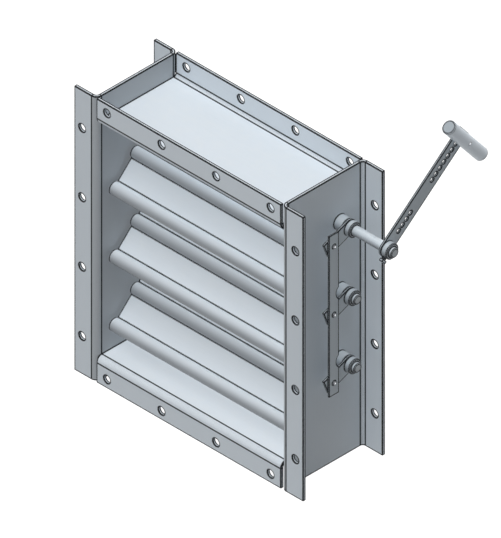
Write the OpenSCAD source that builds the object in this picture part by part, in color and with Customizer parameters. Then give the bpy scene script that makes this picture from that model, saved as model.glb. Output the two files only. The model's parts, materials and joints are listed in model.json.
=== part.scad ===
// Backdraft damper: a flanged channel frame with three gravity blades on a common linkage.
// X runs across the opening, Y from the front flanges to the back, Z up.
// The origin is the centre of the opening in the plane of the front flanges.

/* [Frame] */
// Width of the opening between the side channels
throat_w = 457.2; // [380:0.1:560]
// Overall height of the frame
frame_h = 609.6; // [590:0.1:700]
// Depth of the frame from front flanges to back flanges
frame_d = 203.2; // [195:0.1:260]
// Flange width, from the face of the channel that the air passes
flange_w = 55; // [48:0.5:64]
// Thickness of the channel plate
plate_t = 6.35; // [4:0.05:8]
// Inside radius of the channel bends
bend_r = 6.35; // [3:0.05:9]
// Diameter of the flange bolt holes
bolt_d = 15.9; // [8:0.1:18]
// Distance from a flange's free edge to its bolt holes
bolt_edge = 19; // [14:0.5:24]
// Number of bolt holes in each side flange
side_bolts = 4; // [2:1:5]
// Distance from the end of a side flange to its first bolt hole
side_bolt_inset = 81.3; // [60:0.1:110]
// Number of bolt holes in each top or bottom flange
end_bolts = 4; // [2:1:5]
// Distance from the end of a top or bottom flange to its first bolt hole
end_bolt_inset = 25.7; // [14:0.1:60]

/* [Shafts and bearings] */
// Shaft diameter
shaft_d = 19.05; // [14:0.05:20]
// Distance from the front flanges to the shafts
shaft_y = 139; // [125:0.5:145]
// Distance from the top channel down to the top shaft
top_space = 46.5; // [40:0.5:60]
// Chamfer on the ends of turned pieces
chamfer = 1; // [0.4:0.1:1.4]
// Outer diameter of the bearing bosses
boss_d = 30; // [28:0.5:36]
// Length of a bearing boss outside the channel
boss_len = 21.3; // [10:0.1:24]
// Wall of the bearing bushes
bush_wall = 2.4; // [1.5:0.1:2.6]
// Diameter of the bush flange in the airway
bush_flange_d = 29; // [27:0.5:34]
// Thickness of the bush flange
bush_flange_t = 2; // [1:0.1:3]
// Radial clearance of a shaft in its bushes
run_gap = 0.05; // [0.03:0.01:0.1]
// Radial clearance of pieces that are fixed together
fit_gap = 0.03; // [0.02:0.01:0.05]
// End clearance between turning and fixed faces
float_gap = 0.3; // [0.2:0.1:0.6]
// Diameter of the collars on the left ends of the shafts
collar_d = 32; // [28:0.5:38]
// Width of a collar
collar_w = 11; // [9:0.5:14]
// Length of shaft beyond a collar
tail_len = 4; // [2:0.5:8]
// Diameter of the grub screws
grub_d = 6; // [4:0.5:7]

/* [Blades] */
// Thickness of the blade sheet
blade_t = 1.6; // [1:0.1:2]
// Gap between the end of a blade and the side channel
end_gap = 8; // [5:0.5:12]
// Outer diameter of the middle bead
mid_bead_d = 24; // [16:0.5:28]
// Clearance of the edge bead over the next shaft roll
nest_gap = 0.3; // [0.2:0.05:0.8]
// Width of the slit where the shaft roll closes on the sheet
roll_slit = 1.2; // [0.6:0.1:2]
// Clearance between the bottom blade and the bottom channel
floor_gap = 0.6; // [0.4:0.1:1.5]
// Angle of the blades from vertical as shown
blade_open = 45; // [30:1:60]
// Angle of the blades from vertical when closed
closed_angle = 4; // [3:0.5:8]
// Number of rivets through a shaft roll
rivets = 3; // [2:1:5]
// Distance from the end of a blade to its first rivet
rivet_inset = 50; // [20:1:90]
// Shank diameter of the rivets
rivet_d = 5; // [4:0.1:6]
// Head diameter of the rivets
rivet_head_d = 9; // [8:0.1:11]
// Height of a rivet head above the roll
rivet_head_h = 1.2; // [0.8:0.1:1.6]
// Clearance between a spacer and a blade
spacer_gap = 0.2; // [0.1:0.1:0.4]
// Outer diameter of the spacers
spacer_d = 26; // [24:0.5:30]

/* [Blade stops] */
// Thickness of the stop angles
stop_t = 3; // [2:0.5:4]
// Width of the leg welded to the channel
stop_foot = 22; // [15:1:30]
// Height of the bottom stop
stop_h = 28; // [18:1:32]
// Clearance between a stop and the blades
stop_gap = 0.6; // [0.4:0.1:1.5]

/* [Linkage] */
// Width of the crank arms
crank_w = 32; // [32:0.5:34]
// Thickness of the crank arms
crank_t = 4.76; // [3:0.05:6]
// Distance from the shaft to the square end of a crank arm
crank_len = 63.5; // [58:0.5:66]
// Distance from the shaft to the crank pin
crank_throw = 46.8; // [44:0.1:50]
// Angle of the crank arms below horizontal as shown
crank_droop = 21.5; // [15:0.5:25]
// Diameter of the crank hubs
hub_d = 30.5; // [28:0.5:32]
// Length of a crank hub
hub_len = 12.7; // [8:0.1:14]
// Length of shaft beyond a crank hub
stub_len = 7; // [3:0.5:9]
// Width of the link bar
link_w = 24.4; // [18:0.1:26]
// Thickness of the link bar
link_t = 3.2; // [2:0.1:5]
// Length of the link bar beyond its end pins
link_over = 26.4; // [14:0.1:27]
// Clearance between the link bar and the cranks
link_gap = 0.4; // [0.3:0.1:0.8]
// Diameter of the crank pins
pin_d = 8; // [6:0.1:10]
// Length of a crank pin beyond the link bar
pin_proud = 3.4; // [2:0.1:5]
// Diameter of the head of a crank pin
pin_head_d = 12; // [11:0.5:14]
// Thickness of the head of a crank pin
pin_head_t = 2.5; // [1.5:0.1:3]
// Radial clearance of the two pins where the linkage loop is left loose
loose_gap = 0.3; // [0.3:0.05:0.5]

/* [Lever and counterweight] */
// Distance from the right channel to the lever arm
lever_offset = 113.2; // [80:0.1:140]
// Width of the lever arm
lever_w = 31.75; // [26:0.05:36]
// Thickness of the lever arm
lever_t = 4.76; // [3:0.01:6]
// Length of the lever arm from the shaft to its tip
lever_len = 250; // [246:0.5:270]
// Angle of the lever arm above horizontal as shown
lever_rise = 39.4; // [30:0.1:50]
// Diameter of the holes in the lever arm
lever_hole_d = 8.7; // [6:0.1:10]
// Spacing of the holes in the lever arm
lever_hole_pitch = 12.7; // [11:0.1:13]
// Distance from the shaft to the first hole of the inner row
inner_row_start = 37.5; // [30:0.5:45]
// Number of holes in the inner row
inner_holes = 4; // [2:1:6]
// Distance from the shaft to the first hole of the outer row
outer_row_start = 145; // [130:0.5:150]
// Number of holes in the outer row, the last one for the counterweight
outer_holes = 8; // [4:1:8]
// Diameter of the lever hub
lever_hub_d = 31.6; // [29:0.1:36]
// Length of the lever hub
lever_hub_len = 13.4; // [11:0.1:20]
// Length of shaft beyond the lever hub
nose_len = 6.4; // [3:0.1:12]
// Thread diameter of the set screw
set_d = 8; // [6:0.5:9]
// Width across the flats of the screw heads and nuts
hex_flats = 13; // [11:0.5:14]
// Thickness of a screw head
hex_t = 5.3; // [3:0.1:8]
// Gap under the head of the set screw
set_gap = 4; // [2:0.5:6]
// Diameter of the counterweight
weight_d = 27; // [20:0.5:40]
// Length of the counterweight
weight_len = 127; // [80:1:160]
// Depth of the flat that seats the counterweight on the lever arm
weight_flat = 0.8; // [0.4:0.1:2]
// Diameter of the counterweight bolt
weight_bolt_d = 8; // [6:0.1:8.2]
// Thickness of the washer under the bolt head
washer_t = 1.6; // [1:0.1:3]
// Diameter of the washer
washer_d = 18; // [17:0.5:24]

/* [Hidden] */
$fn = 72;
BLADES = 3;
web_x = throat_w / 2 + plate_t;
floor_z = -frame_h / 2 + flange_w;
ceiling_z = frame_h / 2 - flange_w;
outer_bend_r = bend_r + plate_t;
side_bolt_pitch = (frame_h - 2 * side_bolt_inset) / (side_bolts - 1);
end_bolt_pitch = (throat_w - 2 * end_bolt_inset) / (end_bolts - 1);

shaft_r = shaft_d / 2;
roll_in_r = shaft_r + fit_gap;
roll_r = roll_in_r + blade_t;
mid_bead_in_r = mid_bead_d / 2 - blade_t;
edge_bead_in_r = roll_r + nest_gap;
edge_bead_r = edge_bead_in_r + blade_t;
// The closed blades fill the opening from the top shaft down to the bottom channel
blade_pitch = (ceiling_z - floor_z - top_space - floor_gap - edge_bead_r) / BLADES;
blade_reach = blade_pitch + edge_bead_r;
blade_len = throat_w - 2 * end_gap;
rivet_step = (blade_len - 2 * rivet_inset) / (rivets - 1);
travel = blade_open - closed_angle;

bush_in_r = shaft_r + run_gap;
bush_r = bush_in_r + bush_wall;
boss_end = web_x + boss_len;
collar_x = boss_end + float_gap;
shaft_left = collar_x + collar_w + tail_len;
spacer_len = end_gap - bush_flange_t - float_gap - spacer_gap;

crank_x = boss_end + float_gap;
hub_x = crank_x + crank_t;
hub_end = hub_x + hub_len;
link_x = hub_x + link_gap;
pin_end = link_x + link_t + pin_proud;
pin_r = pin_d / 2;

lever_x = web_x + lever_offset;
lever_hub_x = lever_x + lever_t;
lever_hub_end = lever_hub_x + lever_hub_len;
weight_at = outer_row_start + (outer_holes - 1) * lever_hole_pitch;
weight_x = lever_hub_x + weight_d / 2 - weight_flat;
weight_top_x = weight_x + weight_d / 2;
// Extra length that lets a cutting shape pass through what it cuts
cut = 1;

function shaft_z(i) = ceiling_z - top_space - i * blade_pitch;
function shaft_right(i) = i == 0 ? lever_hub_end + nose_len : hub_end + stub_len;
function row(n, pitch) = [for (k = [0:n - 1]) (k - (n - 1) / 2) * pitch];

// Turns an outline drawn in Y and Z into a solid from x = from to x = to
module along_x(from, to) {
    translate([from, 0, 0])
        rotate([90, 0, 90])
            linear_extrude(to - from)
                children();
}

// Puts a shape drawn round the X axis on shaft i
module on_shaft(i) {
    translate([0, shaft_y, shaft_z(i)])
        children();
}

// A round bar along X
module bar_x(from, to, r) {
    translate([from, 0, 0])
        rotate([0, 90, 0])
            cylinder(h = to - from, r = r);
}

// A turned bar along X, chamfered at its far end and, where both is true, at its near end
module turned_x(from, to, r, both = false) {
    h = to - from;
    near = both ? [[r - chamfer, 0], [r, chamfer]] : [[r, 0]];
    translate([from, 0, 0])
        rotate([0, 90, 0])
            rotate_extrude()
                polygon(concat([[0, 0]], near, [[r, h - chamfer], [r - chamfer, h], [0, h]]));
}

// A turned tube along X
module tube_x(from, to, r, hole_r, both = false) {
    difference() {
        turned_x(from, to, r, both);
        bar_x(from - cut, to + cut, hole_r);
    }
}

// Outline of a channel: x is the depth, y runs outward from the face that the air passes
module channel_outline() {
    difference() {
        union() {
            translate([outer_bend_r, 0])
                square([frame_d - 2 * outer_bend_r, flange_w]);
            translate([0, outer_bend_r])
                square([frame_d, flange_w - outer_bend_r]);
            for (x = [outer_bend_r, frame_d - outer_bend_r])
                translate([x, outer_bend_r])
                    circle(r = outer_bend_r);
        }
        translate([outer_bend_r, plate_t])
            square([frame_d - 2 * outer_bend_r, flange_w]);
        translate([plate_t, outer_bend_r])
            square([frame_d - 2 * plate_t, flange_w]);
        for (x = [outer_bend_r, frame_d - outer_bend_r])
            translate([x, outer_bend_r])
                circle(r = bend_r);
    }
}

// A channel that lies along X with its flanges up, the middle of the web's lower face at the origin
module channel(len, holes) {
    difference() {
        translate([-len / 2, 0, 0])
            rotate([90, 0, 90])
                linear_extrude(len)
                    channel_outline();
        for (x = holes)
            translate([x, -cut, flange_w - bolt_edge])
                rotate([-90, 0, 0])
                    cylinder(h = frame_d + 2 * cut, d = bolt_d);
    }
}

module end_channel() {
    channel(throat_w, row(end_bolts, end_bolt_pitch));
}

module top_channel() {
    color("lightsteelblue")
        translate([0, 0, ceiling_z])
            end_channel();
}

module bottom_channel() {
    color("lightsteelblue")
        mirror([0, 0, 1])
            translate([0, 0, -floor_z])
                end_channel();
}

// A side channel stands upright and carries three bearings
module side_channel() {
    difference() {
        translate([throat_w / 2, 0, 0])
            rotate([0, 90, 0])
                channel(frame_h, row(side_bolts, side_bolt_pitch));
        for (i = [0:BLADES - 1])
            on_shaft(i)
                bar_x(throat_w / 2 - cut, web_x + cut, bush_r + fit_gap);
    }
}

module right_channel() {
    color("lightslategray")
        side_channel();
}

module left_channel() {
    color("lightslategray")
        mirror([1, 0, 0])
            side_channel();
}

// An angle with its upright leg's face at y = 0 and its foot at z = 0 running back
module stop_angle(h) {
    along_x(-throat_w / 2, throat_w / 2) {
        difference() {
            union() {
                translate([0, stop_t * 2])
                    square([stop_t, h - stop_t * 2]);
                translate([stop_t * 2, 0])
                    square([stop_foot - stop_t * 2, stop_t]);
                intersection() {
                    translate([stop_t * 2, stop_t * 2])
                        circle(r = stop_t * 2);
                    square(stop_t * 2);
                }
            }
            translate([stop_t * 2, stop_t * 2])
                circle(r = stop_t);
        }
    }
}

module bottom_stop() {
    drop = shaft_z(BLADES - 1) - floor_z - stop_h;
    face_y = shaft_y - drop * tan(closed_angle) + blade_t / 2 / cos(closed_angle) + stop_gap;
    color("slategray")
        translate([0, face_y, floor_z])
            stop_angle(stop_h);
}

module top_stop() {
    rivet_corner_r = norm([roll_r + rivet_head_h, rivet_head_d / 2]);
    round_r = max(rivet_corner_r, bush_flange_d / 2, spacer_d / 2);
    h = top_space - round_r - stop_gap;
    color("slategray")
        translate([0, shaft_y - stop_t / 2, ceiling_z])
            mirror([0, 0, 1])
                stop_angle(h);
}

module boss(i) {
    color("gainsboro")
        on_shaft(i)
            tube_x(web_x, boss_end, boss_d / 2, bush_r + fit_gap);
}

// A flanged sleeve bush, its flange in the airway
module bush(i) {
    color("darkgoldenrod")
        on_shaft(i)
            difference() {
                union() {
                    bar_x(throat_w / 2 - bush_flange_t, throat_w / 2, bush_flange_d / 2);
                    bar_x(throat_w / 2 - bush_flange_t, boss_end, bush_r);
                }
                bar_x(throat_w / 2 - bush_flange_t - cut, boss_end + cut, bush_in_r);
            }
}

// Rivet places along a blade
module at_rivets() {
    for (k = [0:rivets - 1])
        translate([-blade_len / 2 + rivet_inset + k * rivet_step, 0, 0])
            rotate([-blade_open, 0, 0])
                children();
}

module shaft(i) {
    color("silver")
        on_shaft(i)
            difference() {
                turned_x(-shaft_left, shaft_right(i), shaft_r, true);
                at_rivets()
                    translate([0, -shaft_d, 0])
                        rotate([-90, 0, 0])
                            cylinder(h = 2 * shaft_d, d = rivet_d + 2 * fit_gap);
            }
}

// Half of a rolled bead, bulging to the front, with its centre on the sheet
module bead(in_r) {
    r = in_r + blade_t;
    intersection() {
        difference() {
            circle(r = r);
            circle(r = in_r);
        }
        translate([-r, -r])
            square([r + blade_t / 2, 2 * r]);
    }
}

// Section of a blade that hangs straight down from its shaft: x is the depth, y is up
module blade_outline() {
    mid_y = -blade_pitch / 2;
    edge_y = -blade_pitch;
    difference() {
        union() {
            circle(r = roll_r);
            translate([-blade_t / 2, edge_y + edge_bead_in_r])
                square([blade_t, -edge_y - edge_bead_in_r]);
        }
        circle(r = roll_in_r);
        translate([blade_t / 2, -roll_r - cut])
            square([roll_slit, roll_r + cut - roll_in_r / 2]);
        translate([0, mid_y])
            circle(r = mid_bead_in_r);
    }
    translate([0, mid_y])
        bead(mid_bead_in_r);
    translate([0, edge_y])
        bead(edge_bead_in_r);
}

module blade(i) {
    color("lightblue")
        on_shaft(i)
            difference() {
                along_x(-blade_len / 2, blade_len / 2)
                    rotate(-blade_open)
                        blade_outline();
                at_rivets()
                    translate([0, -2 * roll_r, 0])
                        rotate([-90, 0, 0])
                            cylinder(h = 4 * roll_r, d = rivet_d + 2 * fit_gap);
            }
}

// One rivet, its shank along Y, with heads that sit on the round of the shaft roll
module rivet() {
    reach = roll_r + rivet_head_h / 2;
    rotate([-90, 0, 0])
        translate([0, 0, -reach])
            cylinder(h = 2 * reach, d = rivet_d);
    difference() {
        rotate([-90, 0, 0])
            translate([0, 0, -roll_r - rivet_head_h])
                cylinder(h = 2 * (roll_r + rivet_head_h), d = rivet_head_d);
        bar_x(-rivet_head_d, rivet_head_d, roll_r + fit_gap);
    }
}

module blade_rivets(i) {
    color("dimgray")
        on_shaft(i)
            at_rivets()
                rivet();
}

module spacers(i) {
    color("gray")
        on_shaft(i)
            for (side = [0, 1])
                mirror([side, 0, 0])
                    tube_x(blade_len / 2 + spacer_gap, blade_len / 2 + spacer_gap + spacer_len,
                        spacer_d / 2, shaft_r + fit_gap);
}

// A hole or grub screw that points across the shaft, at an angle above the back
module across_shaft(x, angle, from, to, r) {
    translate([x, 0, 0])
        rotate([angle, 0, 0])
            translate([0, from, 0])
                rotate([-90, 0, 0])
                    cylinder(h = to - from, r = r);
}

module collar(i) {
    color("darkgray")
        on_shaft(i)
            difference() {
                tube_x(-collar_x - collar_w, -collar_x, collar_d / 2, shaft_r + fit_gap, true);
                across_shaft(-collar_x - collar_w / 2, crank_droop, 0, collar_d, grub_d / 2 + fit_gap);
            }
}

module crank_hub(i) {
    color("gainsboro")
        on_shaft(i)
            difference() {
                tube_x(hub_x, hub_end, hub_d / 2, shaft_r + fit_gap);
                across_shaft(hub_x + hub_len / 2, crank_droop, 0, hub_d, grub_d / 2 + fit_gap);
            }
}

module grub_screws(i) {
    color("black")
        on_shaft(i) {
            across_shaft(-collar_x - collar_w / 2, crank_droop, shaft_r + fit_gap, collar_d / 2,
                grub_d / 2);
            across_shaft(hub_x + hub_len / 2, crank_droop, shaft_r + fit_gap, hub_d / 2, grub_d / 2);
        }
}

module crank_arm(i) {
    color("slategray")
        on_shaft(i)
            along_x(crank_x, hub_x)
                rotate(crank_droop)
                    difference() {
                        union() {
                            circle(d = crank_w);
                            translate([-crank_len, -crank_w / 2])
                                square([crank_len, crank_w]);
                        }
                        circle(r = shaft_r + fit_gap);
                        translate([-crank_throw, 0])
                            circle(r = pin_r + fit_gap);
                    }
}

// Moves a shape drawn round the X axis to the crank pin of shaft i
module at_pin(i) {
    on_shaft(i)
        rotate([crank_droop, 0, 0])
            translate([0, -crank_throw, 0])
                children();
}

module crank_pin(i) {
    color("white")
        at_pin(i) {
            bar_x(crank_x - pin_head_t, crank_x, pin_head_d / 2);
            turned_x(crank_x, pin_end, pin_r);
        }
}

// The link bar, with a shallow relief beside each crank hub that it passes as the blades close
module link_bar() {
    pin_y = -crank_throw * cos(crank_droop);
    pin_z = -crank_throw * sin(crank_droop);
    steps = 8;
    color("dimgray")
        along_x(link_x, link_x + link_t)
            difference() {
                translate([shaft_y + pin_y - link_w / 2, shaft_z(BLADES - 1) + pin_z - link_over])
                    square([link_w, (BLADES - 1) * blade_pitch + 2 * link_over]);
                for (i = [0:BLADES - 1])
                    translate([shaft_y + pin_y, shaft_z(i) + pin_z]) {
                        circle(r = pin_r + (i == 0 ? run_gap : loose_gap));
                        for (k = [0:steps])
                            rotate(crank_droop + travel * k / steps)
                                translate([crank_throw, 0])
                                    circle(r = hub_d / 2 + link_gap);
                    }
            }
}

// Moves a shape drawn round the X axis a distance out along the lever arm
module on_lever(dist) {
    on_shaft(0)
        rotate([lever_rise, 0, 0])
            translate([0, dist, 0])
                children();
}

module lever_arm() {
    color("slategray")
        on_lever(0)
            along_x(lever_x, lever_hub_x)
                difference() {
                    union() {
                        circle(d = lever_w);
                        translate([0, -lever_w / 2])
                            square([lever_len, lever_w]);
                    }
                    circle(r = shaft_r + fit_gap);
                    for (k = [0:inner_holes - 1])
                        translate([inner_row_start + k * lever_hole_pitch, 0])
                            circle(d = lever_hole_d);
                    for (k = [0:outer_holes - 1])
                        translate([outer_row_start + k * lever_hole_pitch, 0])
                            circle(d = lever_hole_d);
                }
}

module lever_hub() {
    color("gainsboro")
        on_lever(0)
            difference() {
                tube_x(lever_hub_x, lever_hub_end, lever_hub_d / 2, shaft_r + fit_gap);
                across_shaft(lever_hub_x + lever_hub_len / 2, 180, 0, lever_hub_d, set_d / 2 + fit_gap);
            }
}

// A hexagon along Z, standing on z = 0
module hexagon(h) {
    cylinder(h = h, d = hex_flats / cos(30), $fn = 6);
}

module lever_set_screw() {
    head_at = lever_hub_d / 2 + set_gap;
    color("dimgray")
        on_lever(0)
            translate([lever_hub_x + lever_hub_len / 2, 0, 0])
                rotate([90, 0, 0]) {
                    translate([0, 0, shaft_r + fit_gap])
                        cylinder(h = head_at - shaft_r - fit_gap, d = set_d);
                    translate([0, 0, head_at])
                        hexagon(hex_t);
                }
}

// The counterweight is a round bar across the lever arm, with a flat milled where it seats
module counterweight() {
    color("gainsboro")
        on_lever(weight_at)
            difference() {
                translate([weight_x, 0, 0])
                    rotate([0, -90, 0])
                        turned_x(-weight_len / 2, weight_len / 2, weight_d / 2, true);
                translate([lever_hub_x - weight_d, -weight_d, -weight_len])
                    cube([weight_d, 2 * weight_d, 2 * weight_len]);
                bar_x(lever_hub_x - cut, weight_top_x + cut, weight_bolt_d / 2 + fit_gap);
            }
}

module weight_bolt() {
    color("dimgray")
        on_lever(weight_at) {
            bar_x(lever_x - washer_t, weight_top_x, weight_bolt_d / 2);
            translate([lever_x - washer_t, 0, 0])
                rotate([0, -90, 0])
                    hexagon(hex_t);
        }
}

module weight_washer() {
    color("silver")
        on_lever(weight_at)
            tube_x(lever_x - washer_t, lever_x, washer_d / 2, weight_bolt_d / 2 + fit_gap);
}

left_channel();
right_channel();
top_channel();
bottom_channel();
top_stop();
bottom_stop();
boss(0);  // right_boss_1
boss(1);  // right_boss_2
boss(2);  // right_boss_3
mirror([1, 0, 0]) boss(0);  // left_boss_1
mirror([1, 0, 0]) boss(1);  // left_boss_2
mirror([1, 0, 0]) boss(2);  // left_boss_3
bush(0);  // right_bush_1
bush(1);  // right_bush_2
bush(2);  // right_bush_3
mirror([1, 0, 0]) bush(0);  // left_bush_1
mirror([1, 0, 0]) bush(1);  // left_bush_2
mirror([1, 0, 0]) bush(2);  // left_bush_3
shaft(0);  // shaft_1
shaft(1);  // shaft_2
shaft(2);  // shaft_3
blade(0);  // blade_1
blade(1);  // blade_2
blade(2);  // blade_3
blade_rivets(0);  // blade_rivets_1
blade_rivets(1);  // blade_rivets_2
blade_rivets(2);  // blade_rivets_3
spacers(0);  // spacers_1
spacers(1);  // spacers_2
spacers(2);  // spacers_3
collar(0);  // collar_1
collar(1);  // collar_2
collar(2);  // collar_3
crank_arm(0);  // crank_arm_1
crank_arm(1);  // crank_arm_2
crank_arm(2);  // crank_arm_3
crank_hub(0);  // crank_hub_1
crank_hub(1);  // crank_hub_2
crank_hub(2);  // crank_hub_3
crank_pin(0);  // crank_pin_1
crank_pin(1);  // crank_pin_2
crank_pin(2);  // crank_pin_3
grub_screws(0);  // grub_screws_1
grub_screws(1);  // grub_screws_2
grub_screws(2);  // grub_screws_3
link_bar();
lever_arm();
lever_hub();
lever_set_screw();
counterweight();
weight_bolt();
weight_washer();
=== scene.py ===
# %% [markdown]
# # A backdraft damper, piece by piece
#
# The real object is a short piece of duct made of four flanged steel channels. Three blades of thin
# rolled sheet hang from shafts inside it. Cranks, a link bar and a counterweight outside keep the
# blades together, so that air pushes them open in one direction and they fall shut in the other.
#
# Every cell below makes one kind of piece or one finish. The cell before it says what the piece is,
# how it could be made in Blender, and why this way was chosen. Lengths are in millimetres until
# `mm` turns them into Blender's metres.

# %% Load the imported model
import bmesh
import bpy
import json
from functools import partial
from math import asin, atan2, ceil, cos, degrees, hypot, pi, radians, sin, sqrt
from mathutils import Matrix, Vector

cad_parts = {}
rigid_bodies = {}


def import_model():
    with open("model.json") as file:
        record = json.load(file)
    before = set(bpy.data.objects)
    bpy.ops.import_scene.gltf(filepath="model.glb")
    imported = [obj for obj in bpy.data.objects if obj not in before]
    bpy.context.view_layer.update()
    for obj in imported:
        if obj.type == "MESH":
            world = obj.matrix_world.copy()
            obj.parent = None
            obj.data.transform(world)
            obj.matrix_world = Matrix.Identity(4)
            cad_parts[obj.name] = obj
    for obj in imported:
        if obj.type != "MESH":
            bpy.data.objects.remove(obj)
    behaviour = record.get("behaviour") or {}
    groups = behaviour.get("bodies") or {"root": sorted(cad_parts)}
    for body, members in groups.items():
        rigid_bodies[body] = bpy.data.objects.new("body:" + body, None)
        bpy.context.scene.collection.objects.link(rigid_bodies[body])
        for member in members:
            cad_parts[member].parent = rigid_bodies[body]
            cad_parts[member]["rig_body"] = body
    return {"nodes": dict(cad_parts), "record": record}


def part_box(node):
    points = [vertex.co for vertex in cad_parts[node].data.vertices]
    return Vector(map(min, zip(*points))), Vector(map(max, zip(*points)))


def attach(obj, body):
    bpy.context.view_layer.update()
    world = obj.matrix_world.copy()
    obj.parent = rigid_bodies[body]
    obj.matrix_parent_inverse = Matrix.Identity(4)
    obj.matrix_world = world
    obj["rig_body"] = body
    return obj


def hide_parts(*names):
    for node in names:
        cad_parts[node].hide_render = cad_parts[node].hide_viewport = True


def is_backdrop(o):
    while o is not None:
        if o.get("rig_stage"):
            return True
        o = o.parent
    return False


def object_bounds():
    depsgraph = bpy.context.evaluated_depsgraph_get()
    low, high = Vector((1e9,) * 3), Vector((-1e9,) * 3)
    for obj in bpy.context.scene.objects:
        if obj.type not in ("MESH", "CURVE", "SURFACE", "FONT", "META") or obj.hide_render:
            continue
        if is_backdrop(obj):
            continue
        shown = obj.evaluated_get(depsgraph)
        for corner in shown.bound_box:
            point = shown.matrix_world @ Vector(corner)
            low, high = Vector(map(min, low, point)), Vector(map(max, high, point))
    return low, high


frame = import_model()
cad_box = [list(corner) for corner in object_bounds()]
scene = bpy.context.scene


def mm(*lengths):
    """Millimetres to metres: one number for one length, a tuple for more."""
    metres = tuple(length / 1000 for length in lengths)
    return metres[0] if len(metres) == 1 else metres


# %% [markdown]
# ## Sizes
#
# What a box can't tell, such as the thickness of a plate or the angle of a blade, is named here
# once, lengths in millimetres and angles in degrees. The three shafts carry everything that turns,
# so their places get a function of their own.

# %% Named sizes
BLADES = (1, 2, 3)
SIDES = {"left": -1, "right": 1}
plate_t = 6.35
bend_r = 6.35
bend_outside = bend_r + plate_t
blade_t = 1.6
blade_open = 45
crank_droop = 21.5
crank_throw = 46.8
lever_rise = 39.4
shaft_r = 19.05 / 2


def span(node, axis):
    """Where a node starts and ends along one axis, in millimetres."""
    lo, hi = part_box(node)
    i = "XYZ".index(axis)
    return lo[i] * 1000, hi[i] * 1000


def middle(node, axis):
    """The middle of a node along one axis, in millimetres."""
    return sum(span(node, axis)) / 2


def on_shaft(i, x=0.0):
    """A point on the axis of shaft i, in metres."""
    return Vector(mm(x, middle(f"shaft_{i}", "Y"), middle(f"shaft_{i}", "Z")))


def body_of(node):
    """The body that carries a node."""
    return frame["nodes"][node]["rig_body"]


blade_pitch = (on_shaft(1).z - on_shaft(2).z) * 1000
shaft_heights = [round(on_shaft(i).z * 1000, 1) for i in BLADES]
print("shafts at z:", shaft_heights, "pitch:", round(blade_pitch, 2))

# %% [markdown]
# ## Camera
#
# The photograph is an isometric view: one scale on all three axes and no vanishing points. A
# perspective camera with a long lens comes close, but an orthographic camera is exact. It looks
# along the diagonal of a cube, so the same direction gives both its rotation and its place.

# %% The isometric camera
view_from = Vector((1, -1, 1)).normalized()
aim = Vector(mm(59.0, 94.3, 35.2))
camera_away = 3.0
picture_w, picture_h = 501, 538
px_per_mm = 0.5701

camera_data = bpy.data.cameras.new("camera")
camera_data.type = "ORTHO"
camera_data.ortho_scale = mm(picture_h / px_per_mm)
camera_data.clip_end = 20
camera = bpy.data.objects.new("camera", camera_data)
camera.location = aim + view_from * camera_away
camera.rotation_euler = view_from.to_track_quat("Z", "Y").to_euler()
scene.collection.objects.link(camera)
scene.camera = camera
print("camera sees", round(picture_w / px_per_mm), "x", round(picture_h / px_per_mm), "mm")

# %% [markdown]
# ## Light
#
# The picture has the plain shading of a studio: faces that look up are palest, those that look to
# the front are half as bright, and those that look to the right are darkest. One soft sun, the key,
# casts the shadows. Three more make a big white tent and cast none, so that light also reaches the
# blades inside the frame. The last one stands behind, so that the back isn't black. It casts
# shadows, because otherwise it would shine through the frame onto the throat faces. View transform
# Standard keeps a colour as written.

# %% Suns
scene.view_settings.view_transform = "Standard"


def add_sun(name, towards, strength, spread, shadows):
    """A sun that shines from a direction. Spread is its apparent size in degrees."""
    data = bpy.data.lights.new(name, "SUN")
    data.energy = strength
    data.angle = radians(spread)
    data.use_shadow = shadows
    lamp = bpy.data.objects.new(name, data)
    lamp.rotation_euler = Vector(towards).to_track_quat("Z", "Y").to_euler()
    scene.collection.objects.link(lamp)


add_sun("key", (0.12, -0.5, 1.0), strength=0.45, spread=30, shadows=True)
add_sun("tent_top", (0.0, 0.0, 1.0), strength=1.98, spread=60, shadows=False)
add_sun("tent_front", (0.0, -1.0, 0.3), strength=0.92, spread=60, shadows=False)
add_sun("tent_right", (1.0, 0.0, 0.0), strength=0.05, spread=90, shadows=False)
add_sun("tent_behind", (-0.6, 1.0, 0.1), strength=1.0, spread=90, shadows=True)

# %% [markdown]
# ## World
#
# The world lights the shaded sides with a low grey. What the camera sees behind the object is
# white, and so is what steel mirrors: Light Path tells such rays from the ones that only light.
# Every shader from here on is a net of nodes. Writing out each link would hide what the net does,
# so a few short functions come first. Each adds one node, fed by sockets or by plain numbers.

# %% Short ways to add nodes
WHITE = (1, 1, 1, 1)


def feed(tree, value, socket):
    """Links a socket to another one, or sets a plain value on it."""
    if isinstance(value, bpy.types.NodeSocket):
        tree.links.new(value, socket)
    else:
        socket.default_value = value


def set_inputs(tree, node, values):
    """Feeds a node's inputs by their names, written with _ for each space."""
    for label, value in values.items():
        feed(tree, value, node.inputs[label.replace("_", " ")])
    return node


def add_node(tree, kind, **values):
    """A shader node of a kind, with its inputs by name."""
    return set_inputs(tree, tree.nodes.new("ShaderNode" + kind), values)


def add_math(tree, operation, *operands):
    """A math node. Each operand is a socket or a number."""
    node = add_node(tree, "Math")
    node.operation = operation
    for operand, socket in zip(operands, node.inputs):
        feed(tree, operand, socket)
    return node.outputs[0]


def add_vector(tree, operation, a, b):
    """A vector math node on two vectors."""
    node = add_node(tree, "VectorMath")
    node.operation = operation
    feed(tree, a, node.inputs[0])
    feed(tree, b, node.inputs[1])
    return node.outputs


def add_range(tree, value, low, high):
    """Maps low..high of a socket to 0..1, with smooth ends. Low may be the higher number."""
    node = add_node(tree, "MapRange", Value=value, From_Min=low, From_Max=high)
    node.interpolation_type = "SMOOTHSTEP"
    return node.outputs["Result"]


print("nodes can be added by kind, as math, on vectors or as a range")

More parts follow.
